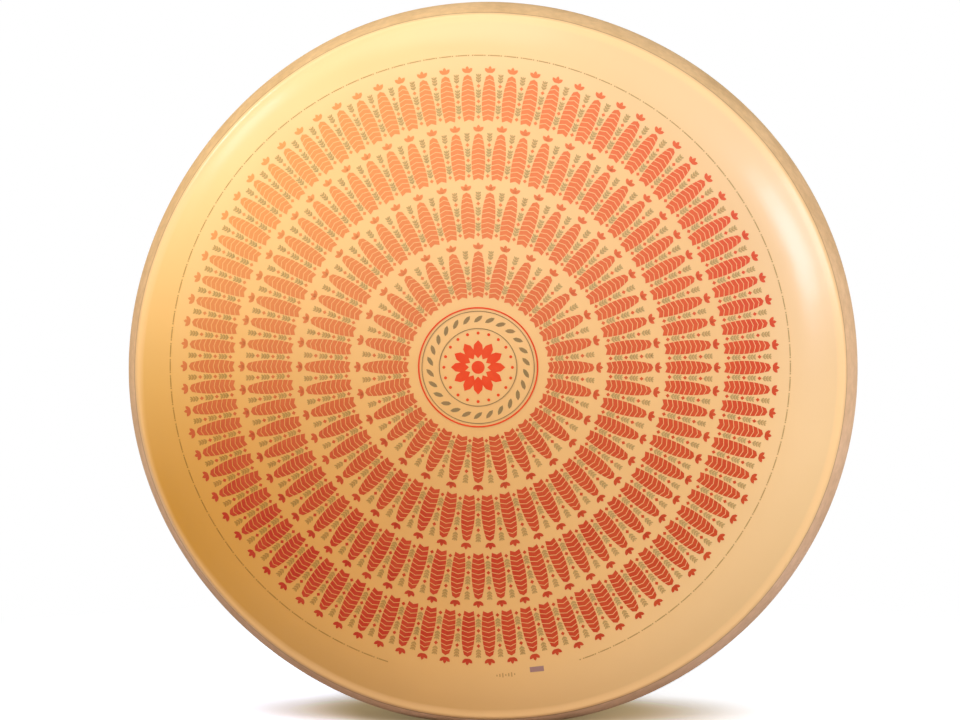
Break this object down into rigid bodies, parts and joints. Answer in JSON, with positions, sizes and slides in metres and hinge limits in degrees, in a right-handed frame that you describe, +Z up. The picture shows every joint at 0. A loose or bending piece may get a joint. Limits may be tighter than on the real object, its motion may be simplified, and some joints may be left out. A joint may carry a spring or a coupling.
{
  "type": "emmental cheese wheel",
  "caption": "Whole round wheel of hard cheese standing on its heel, with domed faces, rolled shoulders, a bulged heel and a foot pressed flat.",
  "frame": {"origin": "on the floor, under the middle of the wheel's bounding box", "axes": "+Z up as the wheel stands on its heel, wheel axis along Y with the printed face towards -Y, +X to the right of that face"},
  "size_m": [0.905, 0.2066, 0.8906],
  "materials": {
    "rind": "thin glossy film over a mottled straw-yellow rind"
  },
  "bodies": {
    "root": {"cheese_wheel": "rind"}
  },
  "joints": []
}
